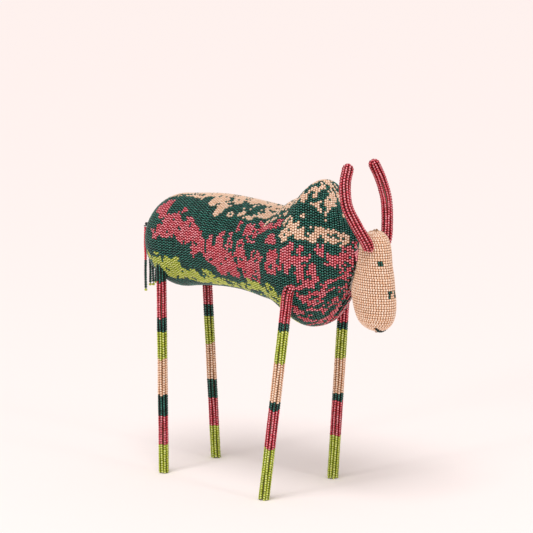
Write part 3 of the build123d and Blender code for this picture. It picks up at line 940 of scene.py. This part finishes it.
# Painted shade between the beads: a dark version of each glass, for the cloth that shows through.
under = {"green": (0.003, 0.012, 0.01, 1), "red": (0.10, 0.006, 0.012, 1), "peach": (0.42, 0.22, 0.11, 1),
         "lime": (0.12, 0.15, 0.01, 1)}
cover_depth = 1.5 * MM
cover_cloth = woven("sewn_cotton_cover", "gap_shade")
torso_cover = cover_from(torso_net, "torso_cover", cover_depth, lambda p: under[torso_colour(p)],
                         cover_cloth)
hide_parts("torso_cloth")
head_cover = cover_from(head_net, "head_cover", cover_depth, lambda p: under["peach"], cover_cloth)
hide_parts("head_cloth")
print("covers made")

# %% [markdown]
# ## What stays inside
# The wires, their wrappings and the stuffing are hidden in the finished figure, but they are part of
# it. They keep the frame's own shapes and get plain finishes of steel, wound cotton and fibre.


# %% Steel wire and fibre
def drawn_wire():
    finish, nodes, links, shader = new_finish("drawn_steel_wire")
    place = nodes.new("ShaderNodeTexCoord")
    grain = nodes.new("ShaderNodeTexNoise")
    grain.inputs["Scale"].default_value = 400
    links.new(place.outputs["Object"], grain.inputs["Vector"])
    ramp = nodes.new("ShaderNodeValToRGB")
    ramp.color_ramp.elements[0].color = (0.32, 0.32, 0.33, 1)
    ramp.color_ramp.elements[1].color = (0.55, 0.55, 0.56, 1)
    links.new(grain.outputs["Fac"], ramp.inputs["Fac"])
    links.new(ramp.outputs["Color"], shader.inputs["Base Color"])
    shader.inputs["Metallic"].default_value = 1.0
    shader.inputs["Roughness"].default_value = 0.35
    return finish


def paint(node, finish):
    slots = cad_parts[node].data.materials
    slots.clear()
    slots.append(finish)


steel = drawn_wire()
wound_cotton = woven("wound_cotton", colour=(0.34, 0.27, 0.21, 1), scale=1500)
fibre = woven("fibre_stuffing", colour=(0.75, 0.72, 0.66, 1), scale=300)
thread_finish = woven("waxed_thread", colour=(0.02, 0.03, 0.03, 1), scale=3000)
for node in ("front_leg_wire", "rear_leg_wire", "neck_wire", "horn_wire"):
    paint(node, steel)
for node in ("front_leg_wraps", "rear_leg_wraps", "right_horn_wrap", "left_horn_wrap"):
    paint(node, wound_cotton)
for node in ("torso_stuffing", "head_stuffing"):
    paint(node, fibre)
for node in ("tail_anchor_stitch", "tail_loop_bar"):
    paint(node, thread_finish)
print("wires, wraps, stuffing and stitches painted")

# %% [markdown]
# ## The tail
# Four short strings of beads hang from a bar of thread. Each thread is a soft curve through the same
# points as the frame's strand, and its beads are threaded on that curve: raspberry above, green below
# and one lime bead at the end, over the knot.

# %% The tail's threads
bar_x = (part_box("tail_loop_bar")[0].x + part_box("tail_loop_bar")[1].x) / 2
bar_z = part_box("tail_loop_bar")[0].z + 0.5 * MM
thread_thick = 0.7 * MM
red_share = 0.54
free_wide = 1.12
strand_y = [-10.5, -5.0, -1.2, 2.6]
strand_routes = [
    [(0.0, 0.9), (-0.7, 14.0), (0.1, 28.0), (-0.6, 42.0), (-0.1, 56.0)],
    [(0.0, 0.9), (0.5, 13.0), (-0.3, 26.0), (0.6, 39.0), (0.2, 52.0)],
    [(0.0, 0.9), (-0.5, 13.0), (0.4, 26.0), (-0.3, 39.0), (0.5, 52.5)],
    [(0.0, 0.9), (0.6, 13.0), (-0.2, 25.5), (0.5, 38.0), (-0.2, 51.0)],
]


def thread_curve(name, points, thick):
    """A soft line that the points pull into shape."""
    data = bpy.data.curves.new(name, "CURVE")
    data.dimensions = "3D"
    spline = data.splines.new("NURBS")
    spline.points.add(len(points) - 1)
    for control, point in zip(spline.points, points):
        control.co = (*point, 1)
    spline.order_u = 3
    spline.use_endpoint_u = True
    data.resolution_u = 16
    data.bevel_depth = thick / 2
    data.use_fill_caps = True
    thing = bpy.data.objects.new(name, data)
    bpy.context.collection.objects.link(thing)
    return thing


def points_on(thing):
    """Points along a curve, with its thickness off while they are read."""
    thick = thing.data.bevel_depth
    thing.data.bevel_depth = 0
    bpy.context.view_layer.update()
    mesh = bpy.data.meshes.new_from_object(thing.evaluated_get(bpy.context.evaluated_depsgraph_get()))
    line = [v.co.copy() for v in mesh.vertices]
    bpy.data.meshes.remove(mesh)
    thing.data.bevel_depth = thick
    return line


# %% [markdown]
# ## Threading the strands
# Beads go along each thread's own line, read back from the curve, a bead's length apart. They hang free,
# so light reaches them from all sides, and none of their sides gets painted shade; only their ends do.

# %% The strands
for number, (y, route) in enumerate(zip(strand_y, strand_routes), 1):
    body = f"tail_strand_{number}_body"
    points = [Vector((bar_x + ahead * MM, y * MM, bar_z - down * MM)) for ahead, down in route]
    thread = thread_curve(f"tail_thread_{number}", points, thread_thick)
    thread.data.materials.append(thread_finish)
    line = points_on(thread)
    lengths = np.concatenate([[0], np.cumsum([(b - a).length for a, b in zip(line, line[1:])])])
    placed = {"red": [], "green": []}
    run = 1.1 * MM
    while run < lengths[-1] - 0.2 * MM:
        i = min(int(np.searchsorted(lengths, run, side="right")) - 1, len(line) - 2)
        ahead = (line[i + 1] - line[i]).normalized()
        place = line[i] + ahead * (run - lengths[i])
        colour = "red" if run < red_share * lengths[-1] else "green"
        placed[colour].append(Bead(np.array(place), np.array(ahead), np.array((1.0, 0.02, 0)), free_wide))
        run += bead_long
    end = points[-1] + Vector((0, 0, -1.0 * MM))
    tip = [Bead(np.array(end), np.array((0, 0, -1.0)), np.array((1.0, 0, 0)), 1.2)]
    made = [string_beads(f"tail_{number}_{colour}_beads", beads, glass_of[colour], slot_of[colour], True)
            for colour, beads in placed.items()]
    made.append(string_beads(f"tail_{number}_end_bead", tip, lime_glass, "lime_beads", True))
    for piece in [thread] + made:
        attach(piece, body)
    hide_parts(f"tail_strand_{number}")
    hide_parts(f"tail_tip_{number}")
    tuple(points[0])
    print("tail strand", number, "is", round(float(lengths[-1]) * 1000, 1), "mm long")

# %% [markdown]
# ## Floor and light
# The figure stands on a wide pale floor that fills the picture. A broad, soft light from overhead keeps
# the whole floor evenly bright, and two small ones put a sparkle on the round glass.

# %% The floor
nothing_selected()
bpy.ops.mesh.primitive_plane_add(size=24)
floor = bpy.context.object
floor.name = "floor"
floor_finish, *_, shader = new_finish("pale_floor")
shader.inputs["Base Color"].default_value = linear(254, 245, 243)
shader.inputs["Roughness"].default_value = 0.95
shader.inputs["Specular IOR Level"].default_value = 0.0
floor.data.materials.append(floor_finish)
print("floor", floor.dimensions.x, "m wide")


# %% Lights
fill_size = 0.35
fill_power = 5


def soft_light(name, place):
    """A round light that points at the figure."""
    data = bpy.data.lights.new(name, "AREA")
    data.shape = "DISK"
    data.size = fill_size
    data.energy = fill_power
    light = bpy.data.objects.new(name, data)
    light.location = place
    light.rotation_mode = "QUATERNION"
    light.rotation_quaternion = (look_at - Vector(place)).to_track_quat("-Z", "Y")
    bpy.context.collection.objects.link(light)


right_of_camera = Vector((math.cos(azimuth), math.sin(azimuth), 0))
toward_camera = Vector((to_camera.x, to_camera.y, 0)).normalized()
sun_data = bpy.data.lights.new("overhead", "SUN")
sun_data.energy = 1.55
sun_data.angle = math.radians(34)
sun = bpy.data.objects.new("overhead", sun_data)
sun.rotation_mode = "QUATERNION"
sun_way = toward_camera * -0.4 + right_of_camera * 0.15 + Vector((0, 0, -1))
sun.rotation_quaternion = sun_way.to_track_quat("-Z", "Y")
bpy.context.collection.objects.link(sun)
soft_light("left_fill", toward_camera * 1.2 - right_of_camera * 1.4 + Vector((0, 0, 0.9)))
soft_light("right_fill", toward_camera * 1.3 + right_of_camera * 1.4 + Vector((0, 0, 0.7)))
print("lit by a sun of", round(sun_data.energy, 2), "and two lights of", fill_power, "W")
world = bpy.data.worlds.new("studio")
bpy.context.scene.world = world
world.use_nodes = True
world.node_tree.nodes["Background"].inputs["Color"].default_value = linear(255, 246, 243)
world.node_tree.nodes["Background"].inputs["Strength"].default_value = 0.55
bpy.context.scene.view_settings.view_transform = "Standard"
